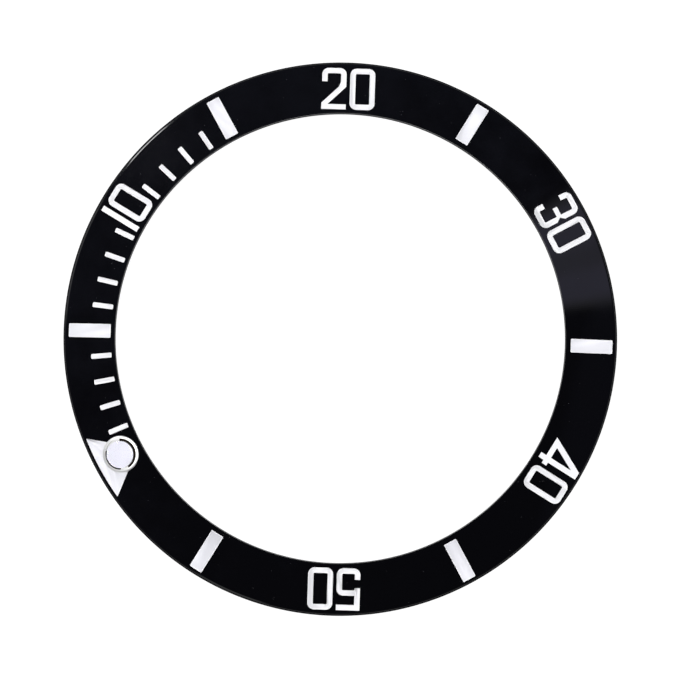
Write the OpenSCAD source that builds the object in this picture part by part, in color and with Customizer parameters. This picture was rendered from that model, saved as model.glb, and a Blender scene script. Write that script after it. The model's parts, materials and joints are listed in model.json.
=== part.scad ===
/* [Ring] */
// Outside diameter, which drops into the rotating bezel
insert_od = 37.6; // [34:0.1:42]
// Width of the ring from its rim to its bore, which clears the crystal
face_w = 3.55; // [3.2:0.05:4.2]
// Height of the upright wall at the rim
rim_wall_h = 0.8; // [0.6:0.05:1.2]
// Slope of the face in degrees, rising from the rim to the bore
face_slope = 14; // [4:1:20]
// Width of the flat land under the rim
land_w = 0.8; // [0.5:0.05:1.2]
// Height of the step from the land up to the coned back, room for the glue
glue_h = 0.15; // [0.05:0.01:0.2]
// Chamfer between the rim wall and the face
rim_chamfer = 0.2; // [0.04:0.01:0.22]
// Chamfer between the face and the bore
bore_chamfer = 0.05; // [0.03:0.01:0.15]

/* [Markings] */
// Bare face between the markings and the rim
rim_margin = 0.32; // [0.25:0.01:0.5]
// Bare face between the markings and the bore
bore_margin = 0.31; // [0.2:0.01:0.4]
// Bare strip that the bars and the numerals leave at each side of the band of markings
mark_inset = 0.04; // [0:0.01:0.15]
// Width of each five minute bar
bar_w = 0.93; // [0.5:0.01:1.4]
// Corner radius of the bars
bar_corner_r = 0.06; // [0.02:0.01:0.2]
// Width of each minute tick
tick_w = 0.33; // [0.24:0.01:0.5]
// Length of each minute tick
tick_l = 1.4; // [0.8:0.01:2]
// Corner radius of the ticks
tick_corner_r = 0.08; // [0.02:0.01:0.11]
// Minute where the ticks end
last_tick = 14; // [4:1:59]
// Depth of the engraving, upright
engraving_depth = 0.12; // [0.06:0.01:0.2]
// Gap between a filling and the walls of its engraving
filling_gap = 0.015; // [0:0.005:0.03]
// How far a filling lies below the face
filling_sink = 0.01; // [0:0.005:0.03]

/* [Triangle] */
// Bare face between the triangle and the rim
triangle_margin = 0.26; // [0.21:0.01:0.4]
// Width of the triangle between its blunt outer corners
triangle_w = 4.42; // [3.4:0.02:5]
// Angle between the two straight sides
triangle_angle = 78; // [70:0.2:90]
// Length of the short edge that blunts each outer corner
triangle_blunt = 0.054; // [0.02:0.002:0.1]

/* [Numerals] */
// Width of the upright strokes
stem_w = 0.375; // [0.3:0.005:0.5]
// Thickness of the level strokes
arm_t = 0.37; // [0.3:0.01:0.45]
// Radius of the round outer corners
outer_corner_r = 0.45; // [0.2:0.01:0.6]
// Radius of the inner corners
inner_corner_r = 0.08; // [0.04:0.01:0.15]
// Gap between the two digits of a numeral
digit_gap = 0.25; // [0.1:0.01:0.5]
// Width of the digit two
two_w = 1.66; // [1.4:0.01:2]
// Width of the digit three
three_w = 1.61; // [1.4:0.01:2]
// Width of the digit four
four_w = 2.03; // [1.8:0.01:2.3]
// Width of the digit five
five_w = 1.6; // [1.4:0.01:2]
// Width of the digit zero
zero_w = 1.7; // [1.4:0.01:2]
// Drop of the stub of the two below its top
two_stub_drop = 0.94; // [0.7:0.01:1.2]
// Height of the heel of the two, where its slant starts
two_heel_h = 0.43; // [0.4:0.01:0.7]
// Thickness of the foot of the two
two_foot_t = 0.35; // [0.3:0.01:0.42]
// Start of the open corner over that foot, from the left side of the two
two_corner_x = 0.42; // [0.3:0.01:0.6]
// Distance of the bend in its slant from the stem of the two
two_bend_w = 0.12; // [0.05:0.01:0.3]
// Drop of that bend below the end of the stub of the two
two_bend_drop = 0.33; // [0.2:0.01:0.5]
// Drop of the upper stub of the three below its top
three_stub_drop = 0.81; // [0.6:0.01:0.95]
// Height of the lower stub of the three
three_stub_h = 0.8; // [0.6:0.01:0.95]
// Thickness of the middle stroke of the three
three_bar_t = 0.33; // [0.25:0.01:0.45]
// Start of the middle stroke of the three, from its left side
three_bar_x = 0.62; // [0.55:0.01:0.9]
// Depth of the notch in the back of the three
three_notch_w = 0.23; // [0.1:0.01:0.3]
// Height of that notch
three_notch_h = 0.6; // [0.4:0.01:0.8]
// Height of the crossbar of the four above the foot of its stem
four_bar_h = 0.4; // [0.3:0.01:0.6]
// Reach of the crossbar of the four past its stem
four_bar_reach = 0.24; // [0.1:0.01:0.35]
// Rise of the top of the four above the tops of the other digits
four_rise = 0.08; // [0:0.01:0.12]
// Width of the flat top of the four
four_top_w = 0.53; // [0.5:0.01:0.8]
// Start of the open counter of the four, from its left end
four_counter_x = 0.62; // [0.5:0.01:0.8]
// Drop of the peak of that counter below the top of the four
four_counter_drop = 0.54; // [0.4:0.01:0.8]
// Height of the bowl of the five
five_bowl_h = 1.85; // [1.6:0.01:2]
// Height of the lower stub of the five
five_stub_h = 0.76; // [0.6:0.01:0.85]
// Drop of the upper stroke of the five below the top of its bowl
five_stroke_drop = 0.53; // [0.45:0.01:0.65]

/* [Pearl] */
// Outside diameter of the cup
cup_od = 2.48; // [2:0.02:2.7]
// Bare face between the cup and the inner ends of the markings
cup_margin = 0.03; // [0:0.01:0.15]
// Width of the polished lip
lip_w = 0.17; // [0.15:0.01:0.25]
// Height of the lip above the face
lip_proud = 0.1; // [0.05:0.01:0.2]
// Radius of the rounding that falls from the inner edge of the lip to its outside
lip_round = 0.3; // [0.29:0.01:0.6]
// Depth of the cup's seat below the face
seat_depth = 0.45; // [0.4:0.01:0.5]
// Diameter of the shank that passes through the ring
shank_d = 1.6; // [1.2:0.05:1.8]
// Distance from the end of the shank to the back of the ring
shank_short = 0.04; // [0.02:0.01:0.1]
// Gap between the cup and its seat
cup_gap = 0.01; // [0.005:0.005:0.03]
// Thickness of the floor of the cup
cup_floor = 0.14; // [0.1:0.01:0.18]
// Gap that the luminous pellet and its lens leave to the wall of the cup
pellet_gap = 0.15; // [0.1:0.01:0.19]
// How far the two sit from the middle of the cup, towards the rim
pellet_out = 0.055; // [0:0.005:0.07]
// Thickness of the luminous pellet
pellet_h = 0.36; // [0.25:0.01:0.4]
// Thickness of the clear lens at its edge
lens_edge = 0.1; // [0.06:0.01:0.2]
// Width of the bevel round the top of the lens
lens_bevel_w = 0.1; // [0.04:0.01:0.2]
// Height of that bevel
lens_bevel_h = 0.04; // [0.02:0.01:0.1]

/* [Hidden] */
$fn = 48;
RING_FN = 360;
MINUTE = 6;
BAR_MINUTES = [5 : 10 : 55];
TENS = [1 : 5];
TICK_MINUTES = [for (m = [1 : last_tick]) if (m % 5 != 0) m];

// The markings stray a little from their places, as measured: numerals sideways, clockwise positive,
// and outwards, bars in minutes and outwards, the triangle and the pearl in minutes
NUMERAL_SIDE = [0.01, 0, 0.19, -0.075, -0.11];
NUMERAL_OUT = [-0.04, -0.05, 0, 0.05, -0.02];
BAR_LATE = [0, 0, -0.04, -0.01, -0.02, 0.05];
BAR_OUT = [-0.01, -0.04, 0.05, 0.04, 0.09, 0.04];
TRIANGLE_LATE = -0.04;
PEARL_LATE = 0.06;

// Extra reach of a cutting or clipping shape past what it cuts
OVER = 1;

rim_r = insert_od / 2;
bore_r = rim_r - face_w;
land_r = rim_r - land_w;
band_in = bore_r + bore_margin;
band_out = rim_r - rim_margin;
mark_h = band_out - band_in - 2 * mark_inset;
rise = tan(face_slope);
cone_wall = face_z(land_r) - glue_h;

cup_r = cup_od / 2;
cup_bore_r = cup_r - lip_w;
// Fall of the lip from its inner edge to its outside
lip_drop = lip_round - sqrt(lip_round * lip_round - lip_w * lip_w);
seat_r = cup_r + cup_gap;
pearl_r = band_in + cup_margin + cup_r;
shank_r = shank_d / 2;
shank_l = cone_wall * cos(face_slope) - seat_depth - shank_short;
pellet_r = cup_bore_r - pellet_gap;
pellet_base = cup_floor - seat_depth;
lens_base = pellet_base + pellet_h;

triangle_r = rim_r - triangle_margin;
triangle_half = triangle_angle / 2;
// Where the sides reach the blunt corners, and where they would meet
triangle_corner_y = sqrt(triangle_r * triangle_r - triangle_w * triangle_w / 4) - triangle_blunt;
triangle_apex_y = triangle_corner_y - triangle_w / 2 / tan(triangle_half);

// Names of a node that belongs to one minute
function minute_name(kind, m) = str(kind, m < 10 ? "_0" : "_", m);

// Which of the bars, counted from zero, stands at a minute, and how late it is in minutes
function bar_index(m) = (m - 5) / 10;
function bar_late(m) = BAR_LATE[bar_index(m)];

// Height of the face and of the coned back at a radius
function face_z(r) = rim_wall_h + (rim_r - r) * rise;
function back_z(r) = face_z(r) - cone_wall;

// Outward normal of the edge from a to b of a counterclockwise outline
function edge_normal(a, b) = [b.y - a.y, a.x - b.x] / norm(b - a);

// A counterclockwise outline with every edge moved out by g
function grown(outline, g) = [
    for (i = [0 : len(outline) - 1])
        let (
            last = len(outline) - 1,
            before = outline[i == 0 ? last : i - 1],
            here = outline[i],
            after = outline[i == last ? 0 : i + 1],
            n1 = edge_normal(before, here),
            n2 = edge_normal(here, after)
        )
        here + g * (n1 + n2) / (1 + n1 * n2)
];

// Rectangle between two corners, grown by g
module slab(x0, y0, x1, y1, g) {
    translate([x0 - g, y0 - g]) square([x1 - x0 + 2 * g, y1 - y0 + 2 * g]);
}

// Rectangle with round corners, grown by g
module round_slab(x0, y0, x1, y1, r, g) {
    for (x = [x0 + r, x1 - r], y = [y0 + r, y1 - r]) translate([x, y]) circle(r + g);
    translate([x0 - g, y0 + r]) square([x1 - x0 + 2 * g, y1 - y0 - 2 * r]);
    translate([x0 + r, y0 - g]) square([x1 - x0 - 2 * r, y1 - y0 + 2 * g]);
}

// Closed loop of strokes, the body of the round digits
module loop_stroke(w, h, g) {
    difference() {
        round_slab(0, 0, w, h, outer_corner_r, g);
        round_slab(stem_w, arm_t, w - stem_w, h - arm_t, inner_corner_r, -g);
    }
}

// Loop that is open on its left between two heights
module open_loop(w, h, mouth_low, mouth_high, g) {
    difference() {
        loop_stroke(w, h, g);
        slab(-OVER, mouth_low, stem_w + inner_corner_r, mouth_high, -g);
    }
}

module digit_one(g) {
    slab(0, 0, stem_w, mark_h, g);
}

module digit_two(g) {
    hook_y = mark_h - two_stub_drop;
    bend = [two_w - stem_w - two_bend_w, hook_y - two_bend_drop];
    slant = (bend.y - two_heel_h) / bend.x;
    slant_end_y = two_foot_t + (two_w - two_corner_x) * slant;
    intersection() {
        loop_stroke(two_w, mark_h, g);
        slab(-OVER, hook_y, two_w + OVER, mark_h + OVER, g);
    }
    polygon(grown([
        [0, 0], [two_w, 0], [two_w, two_foot_t], [two_corner_x, two_foot_t],
        [two_w, slant_end_y], [two_w, hook_y], [two_w - stem_w, hook_y], bend, [0, two_heel_h]
    ], g));
}

module digit_three(g) {
    mid = mark_h / 2;
    difference() {
        union() {
            open_loop(three_w, mark_h, three_stub_h, mark_h - three_stub_drop, g);
            slab(three_bar_x, mid - three_bar_t / 2, three_w - stem_w / 2, mid + three_bar_t / 2, g);
        }
        polygon(grown([
            [three_w - three_notch_w, mid], [three_w + three_notch_w, mid - three_notch_h],
            [three_w + three_notch_w, mid + three_notch_h]
        ], -g));
    }
}

module digit_four(g) {
    stem_x1 = four_w - four_bar_reach;
    stem_x0 = stem_x1 - stem_w;
    bar_top = four_bar_h + arm_t;
    top_x = stem_x1 - four_top_w;
    top_y = mark_h + four_rise;
    difference() {
        polygon(grown([
            [0, four_bar_h], [stem_x0, four_bar_h], [stem_x0, 0], [stem_x1, 0],
            [stem_x1, four_bar_h], [four_w, four_bar_h], [four_w, bar_top],
            [stem_x1, bar_top], [stem_x1, top_y], [top_x, top_y]
        ], g));
        polygon(grown([
            [four_counter_x, bar_top], [stem_x0, bar_top], [stem_x0, top_y - four_counter_drop]
        ], -g));
    }
}

module digit_five(g) {
    open_loop(five_w, five_bowl_h, five_stub_h, five_bowl_h - five_stroke_drop, g);
    slab(0, five_bowl_h - five_stroke_drop, stem_w, mark_h, g);
    slab(0, mark_h - arm_t, five_w, mark_h, g);
}

module digit_zero(g) {
    loop_stroke(zero_w, mark_h, g);
}

TENS_W = [stem_w, two_w, three_w, four_w, five_w];

module numeral_plan(tens, g) {
    tens_w = TENS_W[tens - 1];
    block_w = tens_w + digit_gap + zero_w;
    translate([NUMERAL_SIDE[tens - 1] - block_w / 2, band_in + mark_inset + NUMERAL_OUT[tens - 1]]) {
        if (tens == 1) digit_one(g);
        if (tens == 2) digit_two(g);
        if (tens == 3) digit_three(g);
        if (tens == 4) digit_four(g);
        if (tens == 5) digit_five(g);
        translate([tens_w + digit_gap, 0]) digit_zero(g);
    }
}

module bar_plan(m, g) {
    foot = band_in + mark_inset + BAR_OUT[bar_index(m)];
    round_slab(-bar_w / 2, foot, bar_w / 2, foot + mark_h, bar_corner_r, g);
}

module tick_plan(g) {
    round_slab(-tick_w / 2, band_in, tick_w / 2, band_in + tick_l, tick_corner_r, g);
}

// Outer part of the triangle, whose inner point lies under the pearl
module triangle_plan(g) {
    far_y = rim_r + OVER;
    far_x = (far_y - triangle_apex_y) * tan(triangle_half);
    near_x = (pearl_r - triangle_apex_y) * tan(triangle_half);
    intersection() {
        polygon(grown([[-near_x, pearl_r], [near_x, pearl_r], [far_x, far_y], [-far_x, far_y]], g));
        circle(triangle_r + g, $fn = RING_FN);
        slab(-triangle_w / 2, 0, triangle_w / 2, far_y, g);
    }
}

// Turns what is drawn at zero, on the +Y axis, to its minute
module at_minute(m) {
    rotate(-MINUTE * m) children();
}

// The face between two upright depths below it, cut to a plan
module face_layer(top, bottom) {
    intersection() {
        rotate_extrude($fn = RING_FN) polygon([
            [bore_r, face_z(bore_r) - bottom], [rim_r, face_z(rim_r) - bottom],
            [rim_r, face_z(rim_r) - top], [bore_r, face_z(bore_r) - top]
        ]);
        linear_extrude(height = face_z(bore_r) + OVER) children();
    }
}

module engraving() {
    face_layer(-OVER / 2, engraving_depth) children();
}

module filling() {
    color("white") face_layer(filling_sink, engraving_depth) children();
}

// Stands on the face at the pearl's centre, square to the slope
module on_pearl_axis() {
    at_minute(PEARL_LATE)
        translate([0, pearl_r, face_z(pearl_r)]) rotate([-face_slope, 0, 0]) children();
}

module pearl_seat() {
    on_pearl_axis() {
        translate([0, 0, -seat_depth]) cylinder(r = seat_r, h = seat_depth + OVER);
        translate([0, 0, -seat_depth - OVER]) cylinder(r = shank_r + cup_gap, h = OVER + seat_depth / 2);
    }
}

module ring_body() {
    rotate_extrude($fn = RING_FN) polygon([
        [rim_r, 0],
        [rim_r, rim_wall_h - rim_chamfer],
        [rim_r - rim_chamfer, face_z(rim_r - rim_chamfer)],
        [bore_r + bore_chamfer, face_z(bore_r + bore_chamfer)],
        [bore_r, face_z(bore_r + bore_chamfer) - bore_chamfer],
        [bore_r, back_z(bore_r)],
        [land_r, back_z(land_r)],
        [land_r, 0]
    ]);
}

module insert_ring() {
    color("#101014") difference() {
        ring_body();
        for (t = TENS) at_minute(10 * t) engraving() numeral_plan(t, filling_gap);
        for (m = BAR_MINUTES) at_minute(m + bar_late(m)) engraving() bar_plan(m, filling_gap);
        for (m = TICK_MINUTES) at_minute(m) engraving() tick_plan(filling_gap);
        at_minute(TRIANGLE_LATE) engraving() triangle_plan(filling_gap);
        pearl_seat();
    }
}

module zero_triangle() {
    difference() {
        at_minute(TRIANGLE_LATE) filling() triangle_plan(0);
        pearl_seat();
    }
}

module numeral(tens) {
    at_minute(10 * tens) filling() numeral_plan(tens, 0);
}

module bar(m) {
    at_minute(m + bar_late(m)) filling() bar_plan(m, 0);
}

module tick(m) {
    at_minute(m) filling() tick_plan(0);
}

// Turned metal cup with a rounded lip and a shank that locates it in the ring
module pearl_cup() {
    color("silver") on_pearl_axis() {
        rotate_extrude() difference() {
            union() {
                translate([0, -seat_depth]) square([cup_r, seat_depth + lip_proud - lip_drop]);
                intersection() {
                    translate([0, -seat_depth]) square([cup_r, seat_depth + lip_proud]);
                    translate([cup_bore_r, lip_proud - lip_round]) circle(lip_round);
                }
                translate([0, -seat_depth - shank_l]) square([shank_r, shank_l + cup_floor]);
            }
            translate([0, pellet_base]) square([cup_bore_r, OVER]);
        }
    }
}

module pearl_pellet() {
    color("lavender") on_pearl_axis() {
        translate([0, pellet_out, pellet_base]) cylinder(r = pellet_r, h = pellet_h);
    }
}

// Clear flat cap on the pellet, bevelled round its top
module pearl_lens() {
    color("white", 0.4) on_pearl_axis() {
        translate([0, pellet_out, lens_base]) {
            cylinder(r = pellet_r, h = lens_edge);
            translate([0, 0, lens_edge])
                cylinder(r1 = pellet_r, r2 = pellet_r - lens_bevel_w, h = lens_bevel_h);
        }
    }
}

insert_ring();
zero_triangle();
for (t = TENS) numeral(t);
for (m = BAR_MINUTES) bar(m);
for (m = TICK_MINUTES) tick(m);
pearl_cup();
pearl_pellet();
pearl_lens();
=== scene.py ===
import json
import math

import bpy
from mathutils import Matrix, Vector


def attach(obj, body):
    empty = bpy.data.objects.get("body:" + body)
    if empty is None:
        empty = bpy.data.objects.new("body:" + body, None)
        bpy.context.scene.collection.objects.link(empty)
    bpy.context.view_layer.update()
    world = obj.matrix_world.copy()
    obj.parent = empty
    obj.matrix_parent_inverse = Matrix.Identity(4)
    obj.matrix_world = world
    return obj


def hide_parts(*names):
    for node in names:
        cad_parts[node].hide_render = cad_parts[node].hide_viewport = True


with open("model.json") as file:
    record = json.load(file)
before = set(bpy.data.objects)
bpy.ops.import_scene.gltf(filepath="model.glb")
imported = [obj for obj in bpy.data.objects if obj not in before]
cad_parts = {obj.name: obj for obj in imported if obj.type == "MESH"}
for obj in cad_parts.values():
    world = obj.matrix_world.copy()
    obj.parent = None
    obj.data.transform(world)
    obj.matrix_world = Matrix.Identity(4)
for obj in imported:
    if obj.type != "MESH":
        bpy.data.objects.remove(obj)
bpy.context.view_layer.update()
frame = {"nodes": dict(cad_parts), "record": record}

# Sizes in metres. The frame gives what it can, and the rest repeats the part's own values
MM = 0.001
mounts = {m["name"]: m for m in frame["record"]["mounts"]}
bore, rim = mounts["centre_bore"], mounts["outer_rim"]
BORE_R = bore["dims"]["r_mm"] * MM
BORE_FOOT = bore["pos_m"][2] - bore["dims"]["length_mm"] * MM / 2
RIM_R = rim["dims"]["r_mm"] * MM
RIM_WALL_TOP = rim["dims"]["length_mm"] * MM
RIM_CHAMFER = 0.2 * MM
BORE_CHAMFER = 0.05 * MM
LAND_W = 0.8 * MM
LAND_R = RIM_R - LAND_W
GLUE_H = 0.15 * MM
FACE_SLOPE = math.radians(14)


def face_z(r):
    """Height of the coned face at a radius."""
    return RIM_WALL_TOP + RIM_CHAMFER + (RIM_R - r) * math.tan(FACE_SLOPE)


# From the coned back straight up to the face
CONE_WALL = face_z(LAND_R) - GLUE_H

# The pearl, whose heights are measured from the face along its own axis
BORE_MARGIN = 0.31 * MM
CUP_MARGIN = 0.03 * MM
CUP_R = 1.24 * MM
CUP_GAP = 0.01 * MM
CUP_FLOOR = 0.14 * MM
LIP_W = 0.17 * MM
LIP_PROUD = 0.1 * MM
LIP_ROUND = 0.3 * MM
CUP_BORE_R = CUP_R - LIP_W
SEAT_DEPTH = 0.45 * MM
SHANK_R = 0.8 * MM
SHANK_SHORT = 0.04 * MM
SHANK_L = CONE_WALL * math.cos(FACE_SLOPE) - SEAT_DEPTH - SHANK_SHORT
PELLET_GAP = 0.15 * MM
PELLET_H = 0.36 * MM
PELLET_OUT = 0.055 * MM
PELLET_R = CUP_BORE_R - PELLET_GAP
PELLET_BASE = CUP_FLOOR - SEAT_DEPTH
LENS_EDGE = 0.1 * MM
LENS_BEVEL_W = 0.1 * MM
LENS_BEVEL_H = 0.04 * MM
PEARL_R = BORE_R + BORE_MARGIN + CUP_MARGIN + CUP_R
PEARL_TURN = math.radians(0.36)

# Finish of the edges, of the lacquer and of the pearl
EDGE_ROUND = 0.03 * MM
EDGE_HOLD = 0.01 * MM
LIP_HOLD = 0.02 * MM
PELLET_EDGE = 0.04 * MM
PELLET_AIR = 0.005 * MM
LACQUER_RIM = 0.05 * MM
LACQUER_DIP = 0.012 * MM
RING_STEPS = 720
PEARL_STEPS = 128
# Where the cup's inside has no painted shade, in degrees from the side towards the rim, clockwise
UNSHADED_SIDES = ((39, 107), (-90, -58))

# How far the cutters reach past the face, and the drill of the shank's hole down into the ring
CUTTER_LIFT = 0.5 * MM
DRILL_LIFT = 1 * MM
DRILL_REACH = 1.5 * MM

# Vertices that are closer than this become one, and faces that bend less than this become one
DOUBLE = 0.001 * MM
FLAT = math.radians(1.5)
# A vertex this near to a height or a radius counts as on it
NEAR = 0.005 * MM
# A face this far inside the rim's radius still belongs to the rim wall
RIM_SKIN = 0.02 * MM
# Least upward part of the normal on a top face, and on a face that isn't turned down
TOP_NORMAL = 0.9
SIDE_NORMAL = -0.1

# The photograph in pixels: its size, and the ring's radius and centre in it. The zero mark is turned
# counterclockwise from its top
PHOTO_SIZE = 680
PHOTO_ZERO = math.radians(118.15)
PHOTO_RIM_RADIUS = 276.8
PHOTO_CENTRE = (340.3, 339.1)
CAMERA_DISTANCE = 1.2
CAMERA_TILT = math.radians(2.25)

# The photograph's directions on the ring
UP = Vector((math.sin(PHOTO_ZERO), math.cos(PHOTO_ZERO), 0))
RIGHT = Vector((math.cos(PHOTO_ZERO), -math.sin(PHOTO_ZERO), 0))


# Shader maths


class Value:
    """A socket in a node tree. Operators on it add Math nodes, and make adds any other node."""

    def __init__(self, tree, socket=None):
        self.tree, self.socket = tree, socket

    def make(self, kind, settings=(), values=(), out=0):
        """A node of that kind, its settings first and then its sockets, as the value of one output."""
        node = self.tree.nodes.new("ShaderNode" + kind)
        for name, setting in dict(settings).items():
            setattr(node, name, setting)
        for name, value in dict(values).items():
            self.feed(node.inputs[name], value)
        return Value(self.tree, node.outputs[out])

    def feed(self, socket, value):
        """Links a value to a socket, or sets the socket to a constant."""
        if isinstance(value, Value):
            self.tree.links.new(value.socket, socket)
        else:
            socket.default_value = value

    def scalar(self, operation, *others):
        return self.make("Math", {"operation": operation}, enumerate((self,) + others))

    def vector(self, operation, other, out=0):
        return self.make("VectorMath", {"operation": operation}, enumerate((self, other)), out)

    def dot(self, direction):
        """How far this vector reaches along a direction."""
        return self.vector("DOT_PRODUCT", tuple(direction), out="Value")

    def __add__(self, other):
        return self.scalar("ADD", other)

    __radd__ = __add__

    def __mul__(self, other):
        return self.scalar("MULTIPLY", other)

    __rmul__ = __mul__

    def __sub__(self, other):
        return self.scalar("SUBTRACT", other)

    def __rsub__(self, other):
        return (self * -1) + other

    def step(self, low, high):
        """0 below low, 1 above high, and a smooth change between them."""
        return self.make(
            "MapRange",
            {"interpolation_type": "SMOOTHSTEP"},
            {"Value": self, "From Min": low, "From Max": high},
        )

    def between(self, rise, fall):
        """1 between the pairs rise and fall, 0 outside them, and a smooth change over each of them."""
        return self.step(*rise) * (1 - self.step(*fall))

    def mix(self, low, high):
        """The colour low where this value is 0 and high where it is 1.

        A Mix node's sockets for colours have the names of its others, so they are picked by their place."""
        return self.make("Mix", {"data_type": "RGBA"}, {0: self, 6: low, 7: high}, out=2)


def towards(minute, reach):
    """The direction of a minute, for a dot product with a place that is 1 that many millimetres out."""
    turn = math.radians(6 * minute)
    return (math.sin(turn) / reach, math.cos(turn) / reach, 0)


def cosine(degrees):
    return math.cos(math.radians(degrees))


def grey(v):
    return (v, v, v, 1)


def new_material(name, **constants):
    """A material, its Principled shader with constants on its sockets, and a value to start its maths."""
    material = bpy.data.materials.new(name)
    material.use_nodes = True
    tree = material.node_tree
    shader = tree.nodes["Principled BSDF"]
    for socket, constant in constants.items():
        shader.inputs[socket.replace("_", " ")].default_value = constant
    return material, shader, Value(tree)


def millimetres(value):
    """The surface's own coordinates in millimetres."""
    place = value.make("TexCoord", out="Object")
    return place.vector("MULTIPLY", (1 / MM,) * 3)


def noise(place, scale, detail, roughness=0.5):
    return place.make(
        "TexNoise",
        {"normalize": True},
        {"Vector": place, "Scale": scale, "Detail": detail, "Roughness": roughness},
    )


def marked(value, name):
    """The value that the piece's vertices have under that name."""
    return value.make("Attribute", {"attribute_name": name}, out="Fac")


def bump(height, strength, distance):
    return height.make("Bump", {}, {"Height": height, "Strength": strength, "Distance": distance})


# Materials

# Painted shade: near black for the gap round the pellet, on the cup's inside and on the pellet's side
PAINTED_GAP_SHADE = (0.02, 0.015, 0.012, 1)


def polished_ceramic():
    """Black ceramic with a deep polish, a faint haze on two sides and a few specks of dust.

    One haze is broad, uneven and strongest by minute 15, and one lies in a patch by minute 37."""
    material, shader, value = new_material("polished_black_ceramic", IOR=1.5)
    place = millimetres(value)
    cloud = noise(place, scale=0.35, detail=4, roughness=0.6)
    haze = (place.dot(towards(minute=15, reach=50)) + cloud).step(0.32, 1.0)
    haze = haze + place.dot(towards(minute=37, reach=17.3)).step(0.9, 0.97) * 0.3
    speck = place.make("TexVoronoi", {}, {"Vector": place, "Scale": 3.2, "Randomness": 1.0})
    rare = noise(place, scale=1.1, detail=1).step(0.56, 0.62)
    dust = (1 - speck.step(0.03, 0.07)) * rare
    black = haze.mix((0.0017, 0.0017, 0.0025, 1), (0.0036, 0.0038, 0.0058, 1))
    value.feed(shader.inputs["Base Color"], dust.mix(black, (0.05, 0.05, 0.06, 1)))
    smear = noise(place, scale=1.7, detail=5, roughness=0.65)
    value.feed(shader.inputs["Roughness"], smear * 0.05 + haze * 0.04 + dust * 0.4 + 0.02)
    return material


def ground_ceramic():
    """The back and the bore, left as they were ground, with fine turning lines."""
    material, shader, value = new_material("ground_black_ceramic", IOR=1.5)
    place = millimetres(value)
    lines = place.make(
        "TexWave",
        {"wave_type": "RINGS", "rings_direction": "Z", "wave_profile": "SIN"},
        {"Vector": place, "Scale": 4.0, "Distortion": 1.2, "Detail": 3.0, "Detail Scale": 2.0},
    )
    grain = noise(place, scale=14, detail=3)
    black = (grain * 0.6 + lines * 0.4).mix((0.006, 0.006, 0.008, 1), (0.016, 0.016, 0.019, 1))
    value.feed(shader.inputs["Base Color"], black)
    value.feed(shader.inputs["Roughness"], grain * 0.25 + 0.38)
    relief = bump(grain * 0.5 + lines * 0.5, strength=0.35, distance=0.004 * MM)
    value.feed(shader.inputs["Normal"], relief)
    return material


def white_lacquer():
    """White lacquer with painted shade: darker and more lavender in its dip than round its rim."""
    material, shader, value = new_material("white_lacquer", IOR=1.45)
    place = millimetres(value)
    grain = noise(place, scale=9, detail=4, roughness=0.6)
    # Painted shade: darker and more lavender where the dip is marked
    dip_shade = marked(value, "painted_dip_shade") * (grain * 0.5 + 0.6)
    value.feed(shader.inputs["Base Color"], dip_shade.mix((0.88, 0.88, 0.885, 1), (0.77, 0.77, 0.83, 1)))
    value.feed(shader.inputs["Roughness"], grain * 0.2 + 0.35)
    value.feed(shader.inputs["Normal"], bump(grain, strength=0.25, distance=0.004 * MM))
    return material


def turned_steel():
    """Bright steel with a fine grain, with near-black painted shade inside the cup apart from two sides."""
    material, shader, value = new_material("turned_steel", Metallic=1.0)
    place = millimetres(value)
    # Painted shade: the cup's inside is near black where it is marked
    inside = marked(value, "inside").step(0.3, 0.6)
    grain = noise(place, scale=11, detail=3)
    steel = grain.mix(grey(0.82), (0.88, 0.88, 0.89, 1))
    value.feed(shader.inputs["Base Color"], inside.mix(steel, PAINTED_GAP_SHADE))
    value.feed(shader.inputs["Roughness"], grain * 0.08 + 0.44)
    return material


def luminous_paint():
    """Luminous paint: a pale bed of fine grains with a faint glow that is painted light, and painted shade
    on its side.
    """
    # Painted light: the bed's glow stands in for light that the lens keeps from it
    material, shader, value = new_material("luminous_paint", IOR=1.5, Emission_Strength=0.15)
    place = millimetres(value)
    grain = noise(place, scale=22, detail=2)
    cloud = noise(place, scale=1.6, detail=2)
    tone = cloud.mix((0.80, 0.79, 0.88, 1), (0.86, 0.855, 0.93, 1))
    bed = (grain * 0.4).mix(tone, (0.9, 0.9, 0.95, 1))
    # Painted shade: the pellet's side is near black and doesn't glow
    painted_side_shade = marked(value, "painted_side_shade").step(0.3, 0.6)
    value.feed(shader.inputs["Base Color"], painted_side_shade.mix(bed, PAINTED_GAP_SHADE))
    value.feed(shader.inputs["Roughness"], grain * 0.2 + 0.6)
    value.feed(shader.inputs["Normal"], bump(grain, strength=0.2, distance=0.003 * MM))
    # Painted light: the bed glows in its own tone, the shaded side not at all
    value.feed(shader.inputs["Emission Color"], painted_side_shade.mix(tone, grey(0)))
    return material


def clear_lens():
    """Clear glass with the faintest wipe marks."""
    material, shader, value = new_material("clear_lens", IOR=1.3, Transmission_Weight=1.0)
    place = millimetres(value)
    wipe = noise(place, scale=2.5, detail=3)
    value.feed(shader.inputs["Base Color"], wipe.mix((0.97, 0.97, 0.985, 1), (0.99, 0.99, 1, 1)))
    value.feed(shader.inputs["Roughness"], wipe * 0.02)
    return material


def light_table():
    """The white floor, which shines by itself."""
    material, shader, value = new_material(
        "studio_floor",
        Roughness=0.9,
        Specular_IOR_Level=0.1,
        Emission_Strength=0.9,
        Emission_Color=grey(1),
    )
    place = millimetres(value)
    fibre = noise(place, scale=0.05, detail=3)
    value.feed(shader.inputs["Base Color"], fibre.mix(grey(0.2), grey(0.22)))
    return material


# Modelling


def pick(piece):
    """Leaves the piece as the one that is selected and active."""
    bpy.ops.object.select_all(action="DESELECT")
    bpy.context.view_layer.objects.active = piece
    piece.select_set(True)


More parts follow.
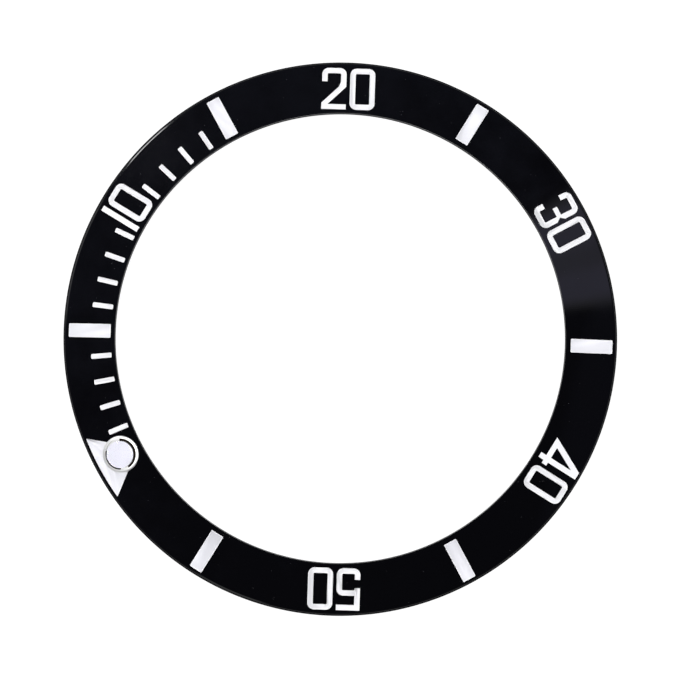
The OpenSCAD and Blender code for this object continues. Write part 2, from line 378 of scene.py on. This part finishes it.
def edit(piece, tool, test=None):
    """Runs a tool in edit mode. With a test, the faces of the piece that pass it are selected first."""
    pick(piece)
    bpy.ops.object.mode_set(mode="EDIT")
    bpy.ops.mesh.select_mode(type="FACE" if test else "VERT")
    bpy.ops.mesh.select_all(action="DESELECT")
    if test:
        bpy.ops.object.mode_set(mode="OBJECT")
        for face in piece.data.polygons:
            face.select = test(face)
        bpy.ops.object.mode_set(mode="EDIT")
    tool()
    bpy.ops.object.mode_set(mode="OBJECT")


def settle(piece):
    """Puts the piece's place in its mesh, so that its object sits at the origin."""
    pick(piece)
    bpy.ops.object.transform_apply(location=True, rotation=True, scale=True)
    return piece


def smooth(piece, angle):
    """Shades the piece smooth across bends of less than that many degrees."""
    pick(piece)
    bpy.ops.object.shade_smooth_by_angle(angle=math.radians(angle))


def added(name, add, **settings):
    """The piece that one of the primitive operators adds."""
    bpy.ops.object.select_all(action="DESELECT")
    add(**settings)
    piece = bpy.context.object
    piece.name = name
    return settle(piece)


def mark(piece, name, rule):
    """Gives each vertex of the piece a value under that name, for its material to read."""
    values = piece.data.attributes.new(name, "FLOAT", "POINT").data
    for vertex in piece.data.vertices:
        values[vertex.index].value = float(rule(vertex))


def turned(name, outline, steps, closed):
    """A turned piece: a circle drawn out from ring to ring along an outline of radius and height.

    A closed outline is a tube, and its last ring is joined to its first. An open one is a solid piece,
    and its first and last rings are filled."""
    r0, z0 = outline[0]
    piece = added(
        name,
        bpy.ops.mesh.primitive_circle_add,
        vertices=steps,
        radius=r0,
        location=(0, 0, z0),
        fill_type="NOTHING" if closed else "TRIFAN",
    )

    def draw_out():
        bpy.ops.mesh.select_all(action="SELECT")
        if not closed:
            bpy.ops.mesh.region_to_loop()
        for (r_before, z_before), (r, z) in zip(outline, outline[1:]):
            bpy.ops.mesh.extrude_edges_move()
            bpy.ops.transform.resize(
                value=(r / r_before, r / r_before, 1), center_override=(0, 0, z_before)
            )
            bpy.ops.transform.translate(value=(0, 0, z - z_before))
        if closed:
            bpy.ops.mesh.select_all(action="DESELECT")
            bpy.ops.mesh.select_non_manifold()
            bpy.ops.mesh.bridge_edge_loops()
        else:
            bpy.ops.mesh.edge_face_add()
            bpy.ops.mesh.poke()
        bpy.ops.mesh.select_all(action="SELECT")
        bpy.ops.mesh.normals_make_consistent(inside=False)

    edit(piece, draw_out)
    return piece


def arc(centre, radius, start, end, steps):
    """Points of an arc about centre, in radius and height, between two angles in degrees."""
    turns = [math.radians(start + (end - start) * i / steps) for i in range(steps + 1)]
    return [(centre[0] + radius * math.cos(a), centre[1] + radius * math.sin(a)) for a in turns]


def rounded(outline, hold, steps=6):
    """A closed outline with its corners rounded and a point held close to both sides of each of them.

    Every entry is a radius, a height and how far back from the corner its rounding starts."""
    points = []
    for i, (r, z, cut_back) in enumerate(outline):
        corner = Vector((r, z))
        before = (Vector(outline[i - 1][:2]) - corner).normalized()
        after = (Vector(outline[(i + 1) % len(outline)][:2]) - corner).normalized()
        points.append(corner + before * (cut_back + hold))
        points += fillet(corner, before, after, cut_back, steps)
        points.append(corner + after * (cut_back + hold))
    return [tuple(p) for p in points]


def fillet(corner, before, after, cut_back, steps):
    """Points of the arc that touches both sides of a corner at the distance cut_back from it."""
    if not cut_back:
        return [corner]
    half = before.angle(after) / 2
    centre = corner + (before + after).normalized() * cut_back / math.cos(half)
    start = corner + before * cut_back - centre
    end = corner + after * cut_back - centre
    return [centre + start.slerp(end, k / steps) * start.length for k in range(steps + 1)]


def on_pearl_axis(piece, out=0):
    """Tilts a piece that was turned about +Z onto the pearl's axis, square to the face.

    It may sit some way off that axis, out towards the rim."""
    place = Matrix.Translation((0, PEARL_R, face_z(PEARL_R))) @ Matrix.Rotation(-FACE_SLOPE, 4, "X")
    turn = Matrix.Rotation(-PEARL_TURN, 4, "Z")
    piece.matrix_world = turn @ place @ Matrix.Translation((0, out, 0))
    return settle(piece)


def cut(piece, cutters):
    """Cuts a collection of closed cutters out of the piece and removes them.

    The solver is built for larger things, so all of them are a thousand times larger meanwhile."""
    for p in (piece, *cutters):
        p.data.transform(Matrix.Scale(1 / MM, 4))
    group = bpy.data.collections.new("cutters")
    bpy.context.scene.collection.children.link(group)
    for c in cutters:
        group.objects.link(c)
    boolean = piece.modifiers.new("cut", "BOOLEAN")
    boolean.operand_type = "COLLECTION"
    boolean.collection = group
    boolean.solver = "EXACT"
    pick(piece)
    bpy.ops.object.modifier_apply(modifier=boolean.name)
    for c in cutters:
        bpy.data.objects.remove(c)
    bpy.data.collections.remove(group)
    piece.data.transform(Matrix.Scale(MM, 4))


def copy_of(node, name):
    """A copy of a CAD node's mesh with its doubles merged and its flat triangles joined."""
    piece = bpy.data.objects.new(name, frame["nodes"][node].data.copy())
    bpy.context.scene.collection.objects.link(piece)
    piece.data.materials.clear()

    def mend():
        bpy.ops.mesh.select_all(action="SELECT")
        bpy.ops.mesh.remove_doubles(threshold=DOUBLE)
        bpy.ops.mesh.dissolve_limited(angle_limit=FLAT)

    edit(piece, mend)
    return piece


def is_top(face):
    return face.normal.z > TOP_NORMAL


def declare(piece, node):
    """Hides the CAD node that the piece stands for, and puts the piece on the one body."""
    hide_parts(node)
    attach(piece, "root")


def finish_piece(piece, material, node):
    """Gives a piece that has no material yet its own, its shading and its place in the part."""
    piece.data.materials.append(material)
    smooth(piece, angle=12)
    declare(piece, node)


# The ring and its fillings

FILLINGS = sorted(
    s["node"] for s in frame["record"]["subparts"] if s["material_slot"] == "white_filling"
)


def lacquer_filling(node, material):
    """The lacquer in one engraving: it climbs the wall a little and dips in the middle.

    Its painted shade in the dip is strongest in the wide engravings and half as strong in the others."""
    # Strength of the painted shade in the dip: full in the wide engravings, half in the others
    depth = 1 if node == "zero_triangle" or node.startswith("bar") else 0.5
    piece = copy_of(node, "lacquer_" + node)

    def dip():
        bpy.ops.mesh.inset(thickness=LACQUER_RIM, depth=-LACQUER_DIP, use_even_offset=True)

    edit(piece, dip, is_top)
    mark(piece, "painted_dip_shade", lambda vertex: vertex.select * depth)
    finish_piece(piece, material, node)


def engraving_cutter(node):
    """A filling's own shape, drawn up past the face."""
    piece = copy_of(node, "cutter_" + node)

    def draw_up():
        bpy.ops.transform.translate(value=(0, 0, CUTTER_LIFT))

    edit(piece, draw_up, is_top)
    return piece


def pearl_drill(name, radius, low, high):
    """A cylinder on the pearl's axis, between two heights from the face."""
    drill = added(
        name,
        bpy.ops.mesh.primitive_cylinder_add,
        vertices=PEARL_STEPS,
        radius=radius,
        depth=high - low,
        location=(0, 0, (low + high) / 2),
    )
    return on_pearl_axis(drill)


def ceramic_ring(polish, ground):
    """The turned ring with its engravings and the pearl's stepped hole cut into it."""
    outline = [
        (RIM_R, 0, EDGE_ROUND),
        (RIM_R, face_z(RIM_R), RIM_CHAMFER),
        (BORE_R, face_z(BORE_R), BORE_CHAMFER),
        (BORE_R, BORE_FOOT, EDGE_ROUND),
        (LAND_R, GLUE_H, 0),
        (LAND_R, 0, EDGE_ROUND),
    ]
    ring = turned("ceramic_ring", rounded(outline, EDGE_HOLD), RING_STEPS, closed=True)
    cut(ring, [engraving_cutter(node) for node in FILLINGS])
    cut(ring, [pearl_drill("seat", CUP_R + CUP_GAP, -SEAT_DEPTH, DRILL_LIFT)])
    cut(ring, [pearl_drill("shank_hole", SHANK_R + CUP_GAP, -DRILL_REACH, 0)])
    ring.data.materials.clear()
    ring.data.materials.append(polish)
    ring.data.materials.append(ground)
    smooth(ring, angle=30)
    for face in ring.data.polygons:
        finish_ring_face(face)
    declare(ring, "insert_ring")


def finish_ring_face(face):
    """Gives a face the polish, which is the first material, or the ground finish of the bore and the back.

    The coned face stays flat between its two held edges, so that no cut bends its shine."""
    r = face.center.xy.length
    above = face.center.z > face_z(r) - CONE_WALL / 2 and face.normal.z > SIDE_NORMAL
    outside = r > RIM_R - RIM_SKIN
    face.material_index = 0 if above or outside else 1
    if is_top(face) and BORE_R + BORE_CHAMFER + EDGE_HOLD < r < RIM_R - RIM_CHAMFER - EDGE_HOLD:
        face.use_smooth = False


# The pearl


def is_left_unshaded(x, y):
    """Whether the inside of the cup is left without painted shade there: it is on two sides, as seen from
    its axis.
    """
    turn = math.degrees(math.atan2(x, y))
    return any(start < turn < end for start, end in UNSHADED_SIDES)


def pearl_cup(material):
    """The cup, with painted shade inside it apart from two sides, so that a dark line runs round the lens.
    """
    lip_centre = (CUP_BORE_R, LIP_PROUD - LIP_ROUND)
    flank = math.degrees(math.asin(LIP_W / LIP_ROUND))
    outline = [
        (SHANK_R, -SEAT_DEPTH - SHANK_L),
        (SHANK_R, -SEAT_DEPTH),
        (CUP_R, -SEAT_DEPTH),
        *arc(lip_centre, LIP_ROUND, 90 - flank, 90, steps=10),
        (CUP_BORE_R, LIP_PROUD - LIP_HOLD),
        (CUP_BORE_R, PELLET_BASE),
    ]
    piece = turned("pearl_cup_turned", outline, PEARL_STEPS, closed=False)

    def is_black(vertex):
        x, y, z = vertex.co
        in_bore = vertex.co.xy.length < CUP_BORE_R + NEAR
        return in_bore and PELLET_BASE - NEAR < z < LIP_PROUD - NEAR and not is_left_unshaded(x, y)

    # Marks where the cup's inside gets its painted shade
    mark(piece, "inside", is_black)
    on_pearl_axis(piece)
    finish_piece(piece, material, "pearl_cup")


def pearl_pellet(material):
    """The pellet, rounded at its top, with a little air left under the lens."""
    top = PELLET_BASE + PELLET_H
    edge_centre = (PELLET_R - PELLET_EDGE, top - PELLET_AIR - PELLET_EDGE)
    outline = [
        (PELLET_R, PELLET_BASE),
        *arc(edge_centre, PELLET_EDGE, 0, 90, steps=8),
    ]
    piece = turned("pearl_pellet_cast", outline, PEARL_STEPS, closed=False)
    # Marks the side below the rounded top for its painted shade
    mark(piece, "painted_side_shade", lambda vertex: vertex.co.z < top - PELLET_EDGE)
    on_pearl_axis(piece, PELLET_OUT)
    finish_piece(piece, material, "pearl_pellet")


def pearl_lens(material):
    """The lens, which stands on the pellet and is bevelled round its top."""
    base = PELLET_BASE + PELLET_H
    outline = [
        (PELLET_R, base),
        (PELLET_R, base + LENS_EDGE),
        (PELLET_R - LENS_BEVEL_W, base + LENS_EDGE + LENS_BEVEL_H),
    ]
    piece = turned("pearl_lens_ground", outline, PEARL_STEPS, closed=False)
    on_pearl_axis(piece, PELLET_OUT)
    finish_piece(piece, material, "pearl_lens")


lacquer = white_lacquer()
for filling in FILLINGS:
    lacquer_filling(filling, lacquer)
ceramic_ring(polished_ceramic(), ground_ceramic())
pearl_cup(turned_steel())
pearl_pellet(luminous_paint())
pearl_lens(clear_lens())


# Studio

# Strengths of the lights, next to the walls and the glows at 1
LAMP = 7.55
PANEL = 0.62
STRIP = 14
DARK = 0.01


def studio_floor():
    """A light table. The ring doesn't mirror it, as the one in the photograph is cut out and black-edged."""
    piece = added("studio_floor", bpy.ops.mesh.primitive_plane_add, size=6)
    piece.data.materials.append(light_table())
    piece.visible_glossy = False


def light_tent():
    """A lamp overhead, dark round it, and pale walls from low down to the horizon.

    The face mirrors a dim lavender panel with a darker fold, the rim mirrors a short bright strip, and
    the pearl's lip mirrors two glows. Sides are in degrees from the photograph's top, clockwise, and near
    and far edges in degrees from straight up. Each is a pair, because it is soft: its start and its end."""
    world = bpy.data.worlds.new("light_tent")
    bpy.context.scene.world = world
    world.use_nodes = True
    tree = world.node_tree
    value = Value(tree)
    way = value.make("TexCoord", out="Generated")
    height = way.make("SeparateXYZ", {}, {0: way}, out="Z")
    azimuth = way.dot(RIGHT).scalar("ARCTAN2", way.dot(UP)) * (180 / math.pi)

    def within(edge):
        start, end = edge
        return height.step(cosine(end), cosine(start))

    def patch(left, right, near, far):
        return azimuth.between(left, right) * within(far) * (1 - within(near))

    lamp_edge = (19, 22)
    lamp = within(lamp_edge)
    walls = within((90, 93)) * (1 - within((68, 80)))
    fold = azimuth.between((62.5, 66.5), (68, 71.5))
    panel = patch(left=(52, 57), right=(75, 79.5), near=lamp_edge, far=(34, 38)) * (1 - fold * 0.25)
    strip = patch(left=(-48, -47), right=(-38, -37), near=(34, 36), far=(54, 58))
    lower_glow = patch(left=(-165, -160), right=(-150, -145), near=(40, 46), far=(62, 68))
    left_glow = patch(left=(-85, -80), right=(-60, -55), near=(40, 46), far=(62, 68))

    background = tree.nodes["Background"]
    strength = lamp * LAMP + panel * PANEL + strip * STRIP + lower_glow + left_glow + walls + DARK
    value.feed(background.inputs["Strength"], strength)
    value.feed(background.inputs["Color"], panel.mix(grey(1), (0.74, 0.72, 1, 1)))


def photo_camera():
    """Looks down on the ring as the photograph does, a little from the side of its lower edge."""
    data = bpy.data.cameras.new("photo_camera")
    camera = bpy.data.objects.new("photo_camera", data)
    bpy.context.scene.collection.objects.link(camera)
    scale = PHOTO_RIM_RADIUS / RIM_R
    data.lens = data.sensor_width * CAMERA_DISTANCE * scale / PHOTO_SIZE
    data.clip_start = 0.01
    axis = Vector((0, 0, 1))
    back = axis * math.cos(CAMERA_TILT) - UP * math.sin(CAMERA_TILT)
    above = UP * math.cos(CAMERA_TILT) + axis * math.sin(CAMERA_TILT)
    off_x = (PHOTO_SIZE / 2 - PHOTO_CENTRE[0]) / scale
    off_y = (PHOTO_CENTRE[1] - PHOTO_SIZE / 2) / scale
    target = RIGHT * off_x + UP * off_y + axis * RIM_WALL_TOP / 2
    turned_axes = Matrix((RIGHT, above, back)).transposed().to_4x4()
    camera.matrix_world = Matrix.Translation(target + back * CAMERA_DISTANCE) @ turned_axes
    bpy.context.scene.camera = camera


studio_floor()
light_tent()
photo_camera()
bpy.context.scene.view_settings.view_transform = "Standard"
